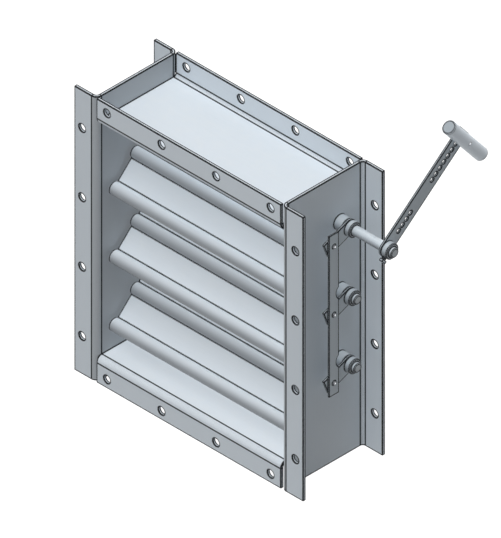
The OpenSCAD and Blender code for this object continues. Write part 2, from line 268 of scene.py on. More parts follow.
# %% World
ambient = 0.09
world = bpy.data.worlds.new("studio")
world.use_nodes = True
scene.world = world
tree = world.node_tree
rays = add_node(tree, "LightPath").outputs
seen = add_math(tree, "MAXIMUM", rays["Is Camera Ray"], rays["Is Glossy Ray"])
seen = add_math(tree, "MAXIMUM", seen, rays["Is Transmission Ray"])
level = add_node(tree, "MapRange", Value=seen, To_Min=ambient)
set_inputs(tree, tree.nodes["Background"], {"Color": WHITE, "Strength": level.outputs["Result"]})
print("world gives", ambient, "to the object and white to the camera")

# %% [markdown]
# ## Floor
#
# The damper stands on the edges of its flanges. The floor is a single large sheet just under them.
# To the camera, and in what the steel mirrors, it is white by its own glow and keeps the shadow. To
# the rays that only light it is plain matt grey, so that it throws little light up. Light Path
# chooses between the two.

# %% Floor
floor_half = 6.0
floor_gap = 0.2
floor_mesh = bpy.data.meshes.new("floor")
corners = [(x * floor_half, y * floor_half, 0) for x, y in ((-1, -1), (1, -1), (1, 1), (-1, 1))]
floor_mesh.from_pydata(corners, [], [(0, 1, 2, 3)])
floor = bpy.data.objects.new("floor", floor_mesh)
floor.location.z = cad_box[0][2] - mm(floor_gap)
scene.collection.objects.link(floor)
floor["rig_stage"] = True

floor_grey, shown_grey, shown_glow = 0.22, 0.42, 0.72
paper = bpy.data.materials.new("paper")
paper.use_nodes = True
tree = paper.node_tree
tree.nodes.clear()
rays = add_node(tree, "LightPath").outputs
seen = add_math(tree, "MAXIMUM", rays["Is Camera Ray"], rays["Is Glossy Ray"])
plain = add_node(tree, "BsdfDiffuse", Color=(floor_grey, floor_grey, floor_grey, 1))
matt = add_node(tree, "BsdfDiffuse", Color=(shown_grey, shown_grey, shown_grey, 1))
glow = add_node(tree, "Emission", Color=WHITE, Strength=shown_glow)
bright = add_node(tree, "AddShader")
feed(tree, matt.outputs[0], bright.inputs[0])
feed(tree, glow.outputs[0], bright.inputs[1])
pick = add_node(tree, "MixShader", Fac=seen)
feed(tree, plain.outputs[0], pick.inputs[1])
feed(tree, bright.outputs[0], pick.inputs[2])
add_node(tree, "OutputMaterial", Surface=pick.outputs[0])
floor_mesh.materials.append(paper)
print("floor at z =", round(floor.location.z * 1000, 1), "mm")

# %% [markdown]
# ## Dark lines along the edges, and painted shade at the joints
#
# On the real frame the edges of cut plate carry a thin dark line, where paint draws back and dirt
# stays. Painting them by hand would take a map for every piece. The Bevel node instead averages the
# surface's direction over a small radius: near an edge the average leans away from the face, and
# that lean is the mask. The line it gives is about a third of the radius wide. Ambient Occlusion
# over a few millimetres finds the joints between pieces and tight inner corners, and darkens the
# colour there as painted shade. Both go into one group that puts out a value.

# %% Node group: edge lines and joint shade


def new_group(name, inputs, outputs):
    """An empty shader node group with named sockets, what it is given and what it puts out."""
    group = bpy.data.node_groups.new(name, "ShaderNodeTree")
    for label, value in inputs.items():
        kind = "NodeSocketVector" if isinstance(value, tuple) else "NodeSocketFloat"
        group.interface.new_socket(label, in_out="INPUT", socket_type=kind).default_value = value
    for label in outputs:
        group.interface.new_socket(label, in_out="OUTPUT", socket_type="NodeSocketFloat")
    given, result = group.nodes.new("NodeGroupInput"), group.nodes.new("NodeGroupOutput")
    return group, given.outputs, result.inputs


LEAN_FROM, LEAN_FULL = 0.999, 0.9915
CREVICE_SHADE_FROM, CREVICE_SHADE_FULL = 0.85, 0.55
edge_lines_and_joint_shade, given, result = new_group(
    "edge lines and joint shade", {"Width": mm(1.6), "Joint Width": mm(3.5), "Amount": 0.98}, ["Mask"])
bevel = add_node(edge_lines_and_joint_shade, "Bevel", Radius=given["Width"])
bevel.samples = 16
face = add_node(edge_lines_and_joint_shade, "NewGeometry").outputs["True Normal"]
lean = add_vector(edge_lines_and_joint_shade, "DOT_PRODUCT", bevel.outputs["Normal"], face)["Value"]
near_edge = add_range(edge_lines_and_joint_shade, lean, LEAN_FROM, LEAN_FULL)
# Painted shade: the colour darkens where Ambient Occlusion finds a joint or a tight corner.
occlusion = add_node(edge_lines_and_joint_shade, "AmbientOcclusion", Distance=given["Joint Width"])
occlusion.samples = 8
crevice_shade = add_range(edge_lines_and_joint_shade, occlusion.outputs["AO"], CREVICE_SHADE_FROM, CREVICE_SHADE_FULL)
either = add_math(edge_lines_and_joint_shade, "MAXIMUM", near_edge, crevice_shade)
feed(edge_lines_and_joint_shade, add_math(edge_lines_and_joint_shade, "MULTIPLY", either, given["Amount"]), result["Mask"])
print("group:", edge_lines_and_joint_shade.name, "with", len(edge_lines_and_joint_shade.nodes), "nodes")

# %% [markdown]
# ## Grain of rolled and turned steel
#
# Rolled plate and drawn bar have long faint streaks in the direction they were rolled, and turned
# pieces have fine rings round their axis. Both are the same noise, stretched along one axis: the
# Stretch input scales the coordinates before the noise. The group puts out a tone to multiply the
# colour by, a change in roughness, and a height for the Bump node.

# %% Node group: grain
cloud_share, roughness_share = 0.8, 0.25
grain, given, result = new_group(
    "grain", {"Stretch": (1, 1, 1), "Scale": 260.0, "Contrast": 0.06},
    ["Tone", "Roughness Shift", "Height"])
calc = partial(add_math, grain)
where = add_node(grain, "TexCoord").outputs["Object"]
stretched = add_vector(grain, "MULTIPLY", where, given["Stretch"])[0]
streaks = add_node(grain, "TexNoise", Vector=stretched, Scale=given["Scale"], Detail=5.0,
                   Roughness=0.62).outputs["Fac"]
clouds = add_node(grain, "TexNoise", Vector=where, Scale=14.0, Detail=3.0).outputs["Fac"]
fine, slow = calc("SUBTRACT", streaks, 0.5), calc("SUBTRACT", clouds, 0.5)
both = calc("ADD", fine, calc("MULTIPLY", slow, cloud_share))
feed(grain, calc("ADD", calc("MULTIPLY", both, given["Contrast"]), 1.0), result["Tone"])
feed(grain, calc("MULTIPLY", both, roughness_share), result["Roughness Shift"])
feed(grain, streaks, result["Height"])
print("group:", grain.name, "with", len(grain.nodes), "nodes")

# %% [markdown]
# ## Dust, and painted shade on what looks down
#
# A damper that has stood on a shelf has a little dust on whatever looks up, broken up by noise.
# What looks down is painted a darker grey, as painted shade; on a bead it fades in round the curve.
# Both masks use the surface's direction in the piece's own space, so that dust and painted shade
# stay where they are when a blade turns.

# %% Node group: dust and underside shade
DUST_FROM, DUST_FULL = 0.35, 1.0
PATCH_FROM, PATCH_FULL = 0.42, 0.68
UNDERSIDE_SHADE_FROM, UNDERSIDE_SHADE_FULL = 0.72, -0.35
dust_and_underside_shade, given, result = new_group("dust_and_underside_shade", {"Amount": 0.12}, ["Mask", "Underside Shade"])
where = add_node(dust_and_underside_shade, "TexCoord").outputs
looks_up = add_node(dust_and_underside_shade, "SeparateXYZ", Vector=where["Normal"]).outputs["Z"]
speckle = add_node(dust_and_underside_shade, "TexNoise", Vector=where["Object"], Scale=55.0, Detail=6.0).outputs["Fac"]
settled = add_math(dust_and_underside_shade, "MULTIPLY", add_range(dust_and_underside_shade, looks_up, DUST_FROM, DUST_FULL),
                   add_range(dust_and_underside_shade, speckle, PATCH_FROM, PATCH_FULL))
feed(dust_and_underside_shade, add_math(dust_and_underside_shade, "MULTIPLY", settled, given["Amount"]), result["Mask"])
# Painted shade: surfaces that look down get a darker colour.
feed(dust_and_underside_shade, add_range(dust_and_underside_shade, looks_up, UNDERSIDE_SHADE_FROM, UNDERSIDE_SHADE_FULL), result["Underside Shade"])
print("group:", dust_and_underside_shade.name, "with", len(dust_and_underside_shade.nodes), "nodes")

# %% [markdown]
# ## Bend marks and painted throat shade
#
# A press brake leaves a fine line on both sides of every bend, where the flat ends and the curve
# begins. On a channel these lines are straight and run its whole length, so they follow from the
# piece's own coordinates: one at a fixed depth on the web, one at a fixed distance from the middle
# on the flange. The same coordinates tell the throat side of the web and the outside of its bends,
# which get a darker grey as painted shade. Across points from the middle of the opening to the web.

# %% Node group: bend marks and throat shade
SKIN = 0.1
mark_fades, mark_full = mm(2.1), mm(1.2)
frame_depth = span("left_channel", "Y")[1]
half_depth = mm(frame_depth / 2)
bend_marks_and_throat_shade, given, result = new_group(
    "bend marks and throat shade", {"Across": (1, 0, 0), "Bend Line": 0.0, "Film Side": 0.0, "Film Amount": 0.0},
    ["Mark", "Throat Shade"])
calc = partial(add_math, bend_marks_and_throat_shade)
where = add_node(bend_marks_and_throat_shade, "TexCoord").outputs["Object"]
reach = add_vector(bend_marks_and_throat_shade, "DOT_PRODUCT", where, given["Across"])["Value"]
out_by = calc("ABSOLUTE", reach)
depth = add_node(bend_marks_and_throat_shade, "SeparateXYZ", Vector=where).outputs["Y"]
from_middle = calc("ABSOLUTE", calc("SUBTRACT", depth, half_depth))
on_web = calc("SUBTRACT", from_middle, half_depth - mm(bend_outside))
on_flange = calc("SUBTRACT", out_by, given["Bend Line"])
nearest = calc("MINIMUM", calc("ABSOLUTE", on_web), calc("ABSOLUTE", on_flange))
feed(bend_marks_and_throat_shade, add_range(bend_marks_and_throat_shade, nearest, mark_fades, mark_full), result["Mark"])

# Painted shade on the throat face of the web and round the outside of its bends.
from_bend = calc("SQRT", calc("ADD", *(calc("MULTIPLY", way, way) for way in (on_web, on_flange))))
round_outside = calc("GREATER_THAN", from_bend, mm(bend_outside - SKIN))
in_bend = calc("MULTIPLY", calc("GREATER_THAN", on_web, 0.0), calc("LESS_THAN", on_flange, 0.0))
throat_face = calc("LESS_THAN", out_by, given["Film Side"])
throat_shade = calc("MAXIMUM", throat_face, calc("MULTIPLY", round_outside, in_bend))
feed(bend_marks_and_throat_shade, calc("MULTIPLY", throat_shade, given["Film Amount"]), result["Throat Shade"])
print("group:", bend_marks_and_throat_shade.name, "with", len(bend_marks_and_throat_shade.nodes), "nodes")

# %% [markdown]
# ## Painted shade on the beads
#
# Each bead is painted darker from its upper side down to its underside, as painted shade, while the
# flats between the beads keep their colour. A bead is wherever the sheet stands off its flat, and
# the blades are alike, so the place of a point is measured from its own shaft: the height is
# wrapped round at each pitch, and two sums turn it into how far the point stands off the flat.

# %% Node group: bead shade
above_shaft = mm(26)
bead_from, bead_full = mm(1.0), mm(1.6)
CROWN, UNDERSIDE = -0.8, 0.8
down_y, down_z = sin(radians(blade_open)), cos(radians(blade_open))
bead_shade, given, result = new_group(
    "bead shade", {"Shaft Y": 0.0, "Shaft Z": 0.0, "Pitch": 0.0}, ["Mask"])
calc = partial(add_math, bead_shade)
where = add_node(bead_shade, "TexCoord").outputs
place = add_node(bead_shade, "SeparateXYZ", Vector=where["Object"]).outputs
facing = add_node(bead_shade, "SeparateXYZ", Vector=where["Normal"]).outputs
from_shaft = calc("SUBTRACT", place["Y"], given["Shaft Y"])
below = calc("SUBTRACT", place["Z"], given["Shaft Z"])
wrapped = calc("WRAP", below, above_shaft, calc("SUBTRACT", above_shaft, given["Pitch"]))
stand_off = calc("SUBTRACT", calc("MULTIPLY", wrapped, down_y),
                 calc("MULTIPLY", from_shaft, down_z))
faces_down = calc("SUBTRACT", calc("MULTIPLY", facing["Y"], -down_y),
                  calc("MULTIPLY", facing["Z"], down_z))
# Painted shade: on a bead, the colour darkens the more the surface faces down.
on_bead = add_range(bead_shade, stand_off, bead_from, bead_full)
crown_down = add_range(bead_shade, faces_down, CROWN, UNDERSIDE)
feed(bead_shade, calc("MULTIPLY", on_bead, crown_down), result["Mask"])
print("group:", bead_shade.name, "with", len(bead_shade.nodes), "nodes")

# %% [markdown]
# ## Materials
#
# All the steel has one cool grey. What sets the pieces apart is how they were made: painted plate
# and sheet are matt and not metallic, shafts and turned hubs are darker and smoother, zinc-plated
# pins are the brightest, and the bushes are bronze. So one function builds each material from the
# same groups, and a table gives each finish its own numbers. On the steel lie, from the bottom up,
# dust, painted shade on undersides and beads, painted shade on the throat faces, and the dark lines
# with painted shade at the joints.

# %% One function for every steel


def linear(r, g, b):
    """A colour from 0-255 screen values to Blender's linear ones."""
    return [c / 255 / 12.92 if c <= 10 else ((c / 255 + 0.055) / 1.055) ** 2.4 for c in (r, g, b)]


# The line colour also paints the shade at joints; the last two colours are painted shade.
LINE_AND_SHADE_COLOUR = (*linear(14, 17, 21), 1)
DUST_COLOUR = (*linear(226, 228, 228), 1)
THROAT_SHADE_COLOUR = (*linear(112, 110, 108), 1)
PAINTED_SHADE_COLOUR = (*linear(122, 127, 132), 1)
MARK_AMOUNT = 0.96
GRAIN_DEPTH = mm(0.2)


def add_mix(tree, factor, a, b):
    """A colour mix. Each colour is a socket or a tuple."""
    node = add_node(tree, "Mix", Factor=factor)
    node.data_type = "RGBA"
    for label, colour in (("A", a), ("B", b)):
        feed(tree, colour, next(s for s in node.inputs if s.name == label and s.type == "RGBA"))
    return next(s for s in node.outputs if s.type == "RGBA")


def add_group(tree, group, **values):
    """Places a node group, with its own values by input name."""
    node = tree.nodes.new("ShaderNodeGroup")
    node.node_tree = group
    return set_inputs(tree, node, values).outputs


def steel(name, colour, roughness, metallic=0.0, stretch=(1, 1, 1), contrast=0.10, bump=0.04,
          line_width=5.0, gloss=0.5, shade_amount=0.0, marks=None, beads=None):
    """A steel finish on one Principled shader: grain, dust, painted shade, and lines over them."""
    material = bpy.data.materials.new(name)
    material.use_nodes = True
    tree = material.node_tree
    shader = tree.nodes["Principled BSDF"]
    shader.inputs["Metallic"].default_value = metallic
    shader.inputs["Specular IOR Level"].default_value = gloss

    streaks = add_group(tree, grain, Stretch=stretch, Contrast=contrast)
    toned = add_node(tree, "VectorMath")
    toned.operation = "SCALE"
    toned.inputs[0].default_value = linear(*colour)
    tree.links.new(streaks["Tone"], toned.inputs["Scale"])

    settled = add_group(tree, dust_and_underside_shade)
    cover = add_mix(tree, settled["Mask"], toned.outputs[0], DUST_COLOUR)
    # Painted shade: undersides and beads are darkened by the finish's amount.
    shade_mask = settled["Underside Shade"]
    if beads:
        shade_mask = add_math(tree, "MAXIMUM", shade_mask, add_group(tree, bead_shade, **beads)["Mask"])
    cover = add_mix(tree, add_math(tree, "MULTIPLY", shade_mask, shade_amount), cover, PAINTED_SHADE_COLOUR)

    # The lines also carry painted shade at joints and in tight corners.
    lines = add_group(tree, edge_lines_and_joint_shade, Width=mm(line_width))["Mask"]
    # Painted shade on the throat faces; the bend marks join the lines.
    if marks:
        bends_and_shade = add_group(tree, bend_marks_and_throat_shade, **marks)
        cover = add_mix(tree, bends_and_shade["Throat Shade"], cover, THROAT_SHADE_COLOUR)
        mark = add_math(tree, "MULTIPLY", bends_and_shade["Mark"], MARK_AMOUNT)
        lines = add_math(tree, "MAXIMUM", lines, mark)
    tree.links.new(add_mix(tree, lines, cover, LINE_AND_SHADE_COLOUR), shader.inputs["Base Color"])

    rough = add_math(tree, "ADD", streaks["Roughness Shift"], roughness)
    rough = add_math(tree, "ADD", rough, settled["Mask"])
    tree.links.new(add_math(tree, "MAXIMUM", rough, lines), shader.inputs["Roughness"])
    relief = add_node(tree, "Bump", Strength=bump, Distance=GRAIN_DEPTH, Height=streaks["Height"])
    tree.links.new(relief.outputs["Normal"], shader.inputs["Normal"])
    return material


print("darkest line colour:", [round(channel, 4) for channel in LINE_AND_SHADE_COLOUR[:3]])

# %% The finishes
ALONG_X = (0.06, 1, 1)
ALONG_Z = (1, 1, 0.06)
TURNED = (6, 0.35, 0.35)
throat_x, ceiling_z = span("right_channel", "X")[0], span("top_channel", "Z")[0]
# The side channels also get painted shade on their throat faces.
SIDE_MARKS_AND_SHADE = {"Across": (1, 0, 0), "Bend_Line": mm(throat_x + bend_outside),
              "Film_Side": mm(throat_x + SKIN), "Film_Amount": 0.4}
END_MARKS = {"Across": (0, 0, 1), "Bend_Line": mm(ceiling_z + bend_outside)}
BEADS = {"Shaft_Y": on_shaft(1).y, "Shaft_Z": on_shaft(1).z, "Pitch": mm(blade_pitch)}
# Each finish gives its amount of painted shade on undersides and beads.
FINISHES = {
    "frame_steel": dict(colour=(211, 219, 226), roughness=0.50, stretch=ALONG_Z, contrast=0.05,
                        line_width=4.6, gloss=0.3, marks=SIDE_MARKS_AND_SHADE),
    "frame_ends": dict(colour=(214, 222, 229), roughness=0.50, stretch=ALONG_X, contrast=0.05,
                       line_width=4.6, gloss=0.3, marks=END_MARKS),
    "blade_sheet": dict(colour=(216, 224, 231), roughness=0.42, stretch=ALONG_X, contrast=0.05,
                        line_width=4.4, gloss=0.35, shade_amount=0.74, beads=BEADS),
    "turned_steel": dict(colour=(180, 189, 196), roughness=0.36, metallic=0.1, stretch=TURNED,
                         bump=0.08, line_width=4.6, shade_amount=0.8),
    "shaft_steel": dict(colour=(204, 213, 220), roughness=0.30, metallic=0.1, stretch=TURNED,
                        contrast=0.08, bump=0.06, line_width=4.6, shade_amount=0.8),
    "bar_steel": dict(colour=(190, 199, 206), roughness=0.48, stretch=ALONG_Z, contrast=0.07,
                      line_width=4.0, gloss=0.3),
    "fastener_steel": dict(colour=(200, 207, 213), roughness=0.32, metallic=0.2, line_width=1.6),
    "pin_steel": dict(colour=(228, 233, 238), roughness=0.28, metallic=0.7, contrast=0.08,
                      line_width=2.4),
    "bolt_steel": dict(colour=(158, 166, 173), roughness=0.40, metallic=0.2, line_width=3.2),
    "bearing_bronze": dict(colour=(176, 146, 98), roughness=0.42, metallic=0.6, stretch=TURNED,
                           contrast=0.12, line_width=1.2),
    "plated_bar": dict(colour=(214, 223, 231), roughness=0.36, metallic=0.2, contrast=0.08,
                       bump=0.05, line_width=4.0, shade_amount=0.3),
    "weld_steel": dict(colour=(176, 183, 189), roughness=0.36, metallic=0.3, contrast=0.16,
                       bump=0.10, line_width=1.2),
    "sawn_end": dict(colour=(162, 171, 178), roughness=0.55, bump=0.12),
}
finishes = {name: steel(name, **numbers) for name, numbers in FINISHES.items()}
for subpart in frame["record"]["subparts"]:
    painted = frame["nodes"][subpart["node"]]
    painted.data.materials.clear()
    painted.data.materials.append(finishes[subpart["material_slot"]])
print("finishes:", sorted(finishes))

# %% [markdown]
# ## Tools for making pieces
#
# Four small tools make almost everything here. `soften` takes a solid that is already right and
# rounds its sharp edges, because no sheared or sawn edge is perfectly sharp, and the thin highlight
# on it is what makes steel look like steel. `lathe` turns a profile round an axis, as a lathe does.
# `sweep` pushes an outline along X, as a roll former does. `weld` lays a rippled bead along a line.
# What they make goes to `make_piece`, which shades the mesh, gives it its finish and lets it ride.

# %% From a mesh to a piece
SHARP = radians(32)


def make_piece(name, bm, nodes, finish, edge=0.0, segments=2, slot=None):
    """Turns a bmesh into a shown piece of its CAD nodes' body, or, without any, of the frame."""
    bmesh.ops.recalc_face_normals(bm, faces=bm.faces)
    mesh = bpy.data.meshes.new(name)
    bm.to_mesh(mesh)
    bm.free()
    mesh.shade_smooth()
    mesh.set_sharp_from_angle(angle=SHARP)
    mesh.materials.append(finishes[finish])
    piece = bpy.data.objects.new(name, mesh)
    scene.collection.objects.link(piece)
    if edge:
        rounding = piece.modifiers.new("rounded_edges", "BEVEL")
        rounding.width = mm(edge)
        rounding.segments = segments
        rounding.limit_method = "ANGLE"
        rounding.angle_limit = SHARP
        rounding.miter_outer = "MITER_ARC"
        rounding.harden_normals = True
    flatten = piece.modifiers.new("flat_faces_stay_flat", "WEIGHTED_NORMAL")
    flatten.keep_sharp = True
    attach(piece, body_of(nodes[0]) if nodes else "frame")
    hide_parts(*nodes)
    return piece


def faces_of(piece):
    """Faces of a piece with its modifiers."""
    return len(piece.evaluated_get(bpy.context.evaluated_depsgraph_get()).data.polygons)


print("edges of more than", round(degrees(SHARP)), "degrees stay sharp")

# %% Soften a solid
SAME_POINT = mm(0.004)
FLAT = radians(0.4)


def solid_of(node):
    """A clean bmesh of a CAD node: corners joined, and the triangles of each flat face merged."""
    bm = bmesh.new()
    bm.from_mesh(frame["nodes"][node].data)
    bmesh.ops.remove_doubles(bm, verts=bm.verts, dist=SAME_POINT)
    bmesh.ops.dissolve_limit(bm, angle_limit=FLAT, verts=bm.verts, edges=bm.edges)
    return bm


def soften(node, finish, edge=0.6, segments=2, slot=None):
    """The node's own shape with its sharp edges rounded by a few tenths."""
    return make_piece(node + "_plate", solid_of(node), [node], finish, edge, segments, slot)


print("corners are joined within", round(SAME_POINT * 1000, 3), "mm")

# %% Turn on a lathe
TURNS = 72


def lathe(bm, profile, place, turns=TURNS):
    """Turns a profile of (along, radius) points, in mm. place is where the X axis goes."""
    rings = []
    for along, radius in profile:
        angles = [2 * pi * k / turns for k in range(turns)] if radius > 0 else [0]
        points = [Vector(mm(along, radius * cos(a), radius * sin(a))) for a in angles]
        rings.append([bm.verts.new(place @ point) for point in points])
    for near, far in zip(rings, rings[1:]):
        for k in range(turns):
            ends = (near[k % len(near)], near[(k + 1) % len(near)],
                    far[(k + 1) % len(far)], far[k % len(far)])
            corners = list(dict.fromkeys(ends))
            if len(corners) > 2:
                bm.faces.new(corners)


def bar_profile(start, end, radius, nip=1.0):
    """A solid bar with chamfered ends."""
    return [(start, 0), (start, radius - nip), (start + nip, radius),
            (end - nip, radius), (end, radius - nip), (end, 0)]


def tube_profile(start, end, radius, bore, nip=1.0, lip=0.4):
    """A tube, chamfered outside by nip and at the mouth of its bore by lip."""
    outside = [(start, radius - nip), (start + nip, radius),
               (end - nip, radius), (end, radius - nip)]
    inside = [(end, bore + lip), (end - lip, bore), (start + lip, bore), (start, bore + lip)]
    return outside + inside + outside[:1]


def along_shaft(i):
    """Puts something drawn round the X axis on shaft i."""
    return Matrix.Translation(on_shaft(i))


def turned(axis, angle):
    """A turn about one axis, in degrees."""
    return Matrix.Rotation(radians(angle), 4, axis)


def turn_piece(name, profile, place, node, finish, turns=TURNS, **look):
    """One piece from the lathe, in place of one node."""
    bm = bmesh.new()
    lathe(bm, profile, place, turns)
    return make_piece(name, bm, [node], finish, **look)


print("a full turn has", TURNS, "sides")

# %% Sweep an outline along X


def rings_to_faces(bm, rings):
    """Joins rings of equal count into a closed skin with flat ends."""
    for near, far in zip(rings, rings[1:]):
        for k in range(len(near)):
            after = (k + 1) % len(near)
            bm.faces.new((near[k], near[after], far[after], far[k]))
    bm.faces.new(rings[0])
    bm.faces.new(rings[-1][::-1])


def arc(centre, radius, start, end, step=6.0):
    """Points on an arc from one angle to the other, both in degrees."""
    count = max(2, ceil(abs(end - start) / step))
    angles = [radians(start + (end - start) * k / count) for k in range(count + 1)]
    return [(centre[0] + radius * cos(a), centre[1] + radius * sin(a)) for a in angles]


def thicken(path, thickness):
    """The outline of a sheet that follows a path, with round edges at both ends."""
    half = thickness / 2
    left, right = [], []
    for k, (x, y) in enumerate(path):
        before, after = path[max(k - 1, 0)], path[min(k + 1, len(path) - 1)]
        dx, dy = after[0] - before[0], after[1] - before[1]
        length = hypot(dx, dy)
        left.append((x - dy / length * half, y + dx / length * half))
        right.append((x + dy / length * half, y - dx / length * half))

    def cap(a, b):
        """The round end between the two sides of the sheet."""
        middle_point = ((a[0] + b[0]) / 2, (a[1] + b[1]) / 2)
        turn = degrees(atan2(a[1] - middle_point[1], a[0] - middle_point[0]))
        return arc(middle_point, half, turn, turn - 180, 30)[1:-1]

    return left + cap(left[-1], right[-1]) + right[::-1] + cap(right[0], left[0])


def sweep(bm, outline, start, end):
    """Pushes an outline of (Y, Z) points along X, from start to end."""
    rings_to_faces(bm, [[bm.verts.new(mm(x, y, z)) for y, z in outline] for x in (start, end)])


print("a quarter arc has", len(arc((0, 0), 1, 0, 90)), "points")

# %% Lay a weld bead
RIPPLE, STEPS_PER_RIPPLE = 2.4, 4
SWELL, THINNEST = 0.12, 0.05
BEAD = [(0, 0), (1, 0), (0.72, 0.34), (0.5, 0.5), (0.34, 0.72), (0, 1)]


def weld(bm, path, leg, across, up):
    """A rippled fillet in the corner between two faces. across and up point along the two faces."""
    across, up = Vector(across), Vector(up)
    lengths = [0.0]
    for a, b in zip(path, path[1:]):
        lengths.append(lengths[-1] + (Vector(b) - Vector(a)).length)
    steps = max(4, round(lengths[-1] / RIPPLE * STEPS_PER_RIPPLE))
    rings = []
    for step in range(steps + 1):
        s = lengths[-1] * step / steps
        k = max(i for i in range(len(path) - 1) if lengths[i] <= s + 1e-9)
        share = (s - lengths[k]) / (lengths[k + 1] - lengths[k])
        spot = Vector(path[k]).lerp(Vector(path[k + 1]), share)
        run_out = min(1.0, s / leg, (lengths[-1] - s) / leg)
        ripple = 1 - SWELL + SWELL * abs(sin(pi * s / RIPPLE))
        size_here = leg * ripple * sqrt(max(THINNEST, run_out))
        points = [spot + (across * a + up * b) * size_here for a, b in BEAD]
        rings.append([bm.verts.new(mm(*p)) for p in points])
    rings_to_faces(bm, rings)


print("weld ripples are", RIPPLE, "mm apart")

# %% [markdown]
# ## Channels
#
# Four channels, bent from plate, make the frame. Their holes and bends have to be exactly where the
# bolts of a duct go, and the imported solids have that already. Modelling them again could only make
# them worse, so each one is softened: the same shape, with the sharp edge of sheared plate rounded
# by about half a millimetre.

# %% Channels and stops
for node, finish in (("left_channel", "frame_steel"), ("right_channel", "frame_steel"),
                     ("top_channel", "frame_ends"), ("bottom_channel", "frame_ends")):
    piece = soften(node, finish, edge=0.6, slot="frame_steel")
    print(piece.name, faces_of(piece), "faces")
for node in ("top_stop", "bottom_stop"):
    piece = soften(node, "frame_steel", edge=0.4)
    print(piece.name, faces_of(piece), "faces")

# %% [markdown]
# ## Blades
#
# A blade is one thin sheet, rolled round its shaft at the top, stiffened by a round bead across its
# middle, and hooked at its lower edge so that it nests on the next blade when shut. A sheet like
# this is best drawn as the path of its middle line and then thickened, as a roll former sees it:
# the thickness stays the same round every bend, which an extruded block would not give. Where a
# flat runs into a bead there is a small bend radius, found from the two circles that touch.

# %% The path of one blade
roll_gap, nest_gap = 0.03, 0.3
mid_bead_d = 24
roll_mid_r = shaft_r + roll_gap + blade_t / 2
mid_bead_mid_r = (mid_bead_d - blade_t) / 2
edge_bead_mid_r = roll_mid_r + blade_t + nest_gap
corner_r = 1.5
slit = 14
corner_step, bead_step = 15, 5


def onto_bead(radius):
    """How far from a bead's middle the flat ends, and the angle that its small bend turns."""
    reach = sqrt(radius * radius + 2 * radius * corner_r)
    return reach, degrees(asin(reach / (radius + corner_r)))


def into_bead(at, radius, below=False):
    """A bead's half circle bulging to the front, with a small bend where it leaves the flat."""
    reach, lean_angle = onto_bead(radius)
    first = arc((-corner_r, at + reach), corner_r, 0, -lean_angle, corner_step)
    until = 180 + (90 if below else lean_angle)
    round_part = arc((0, at), radius, 180 - lean_angle, until, bead_step)
    last = [] if below else arc((-corner_r, at - reach), corner_r, lean_angle, 0, corner_step)
    return first + round_part[1:] + last[1:]


def blade_path():
    """The middle line of a blade that hangs straight down, from the end of its roll to its hook."""
    reach, lean_angle = onto_bead(roll_mid_r)
    roll = arc((0, 0), roll_mid_r, -90 + slit, 180 + lean_angle, bead_step)
    onto_flat = arc((-corner_r, -reach), corner_r, lean_angle, 0, corner_step)
    bead = into_bead(-blade_pitch / 2, mid_bead_mid_r)
    hook = into_bead(-blade_pitch, edge_bead_mid_r, below=True)
    return roll + onto_flat[1:] + bead + hook


def opened(y, z, i):
    """A point of the hanging blade, swung to the angle of the picture and put on shaft i."""
    swing = radians(blade_open)
    at = on_shaft(i) * 1000
    return at.y + y * cos(swing) + z * sin(swing), at.z - y * sin(swing) + z * cos(swing)


path = blade_path()
sheet_width = sum(hypot(b[0] - a[0], b[1] - a[1]) for a, b in zip(path, path[1:]))
print("path has", len(path), "points and is", round(sheet_width), "mm of sheet")

# %% Three blades
for i in BLADES:
    start, end = span(f"blade_{i}", "X")
    outline = [opened(y, z, i) for y, z in thicken(path, blade_t)]
    bm = bmesh.new()
    sweep(bm, outline, start, end)
    piece = make_piece(f"blade_sheet_{i}", bm, [f"blade_{i}"], "blade_sheet")
    print(piece.name, faces_of(piece), "faces,", round(end - start, 1), "mm long")

# %% [markdown]
# ## Bosses, bushes and shafts
#
# These are lathe work: short tubes welded to the channels, bronze sleeves pressed into them, and
# ground bars that turn in the sleeves. A primitive cylinder has sharp ends and the wrong number of
# sides, so each one is turned from its own profile, with the chamfers a turner gives every end.

# %% Bosses and bushes
running_gap, press_gap = 0.05, 0.03
bush_wall = 2.4
bush_bore_r = shaft_r + running_gap
bush_r = bush_bore_r + bush_wall
boss_r = 15.0
bush_flange_r = 14.5
bush_flange_t = 2.0


def step_profile(start, step_at, end, flange, radius, bore, nip=0.4, lip=0.3):
    """A flanged sleeve: its flange from start to step_at, its sleeve from there to end."""
    way = nip if end > start else -nip
    outside = [(start, flange - nip), (start + way, flange),
               (step_at - way, flange), (step_at, flange - nip)]
    sleeve = [(step_at, radius), (end - way, radius), (end, radius - nip)]
    inside = [(end, bore + lip), (end - way, bore), (start + way, bore), (start, bore + lip)]
    return outside + sleeve + inside + outside[:1]


def boss_profile(start, end, radius, bore, nip=1.0):
    """A tube whose far end is chamfered and whose near end sits square on the channel."""
    way = nip if end > start else -nip
    outside = [(start, radius), (end - way, radius), (end, radius - nip)]
    return outside + [(end, bore), (start, bore), (start, radius)]


for side, way in SIDES.items():
    for i in BLADES:
        near, far = span(f"{side}_boss_{i}", "X")[::way]
        boss = boss_profile(near, far, boss_r, bush_r + press_gap)
        turn_piece(f"{side}_bearing_boss_{i}", boss, along_shaft(i), f"{side}_boss_{i}",
                   "turned_steel", edge=0.2, segments=1)
        near, far = span(f"{side}_bush_{i}", "X")[::way]
        sleeve = step_profile(near, near + bush_flange_t * way, far,
                              bush_flange_r, bush_r, bush_bore_r)
        turn_piece(f"{side}_bronze_bush_{i}", sleeve, along_shaft(i), f"{side}_bush_{i}",
                   "bearing_bronze")
print("bosses and bushes:", 2 * len(SIDES) * len(BLADES))

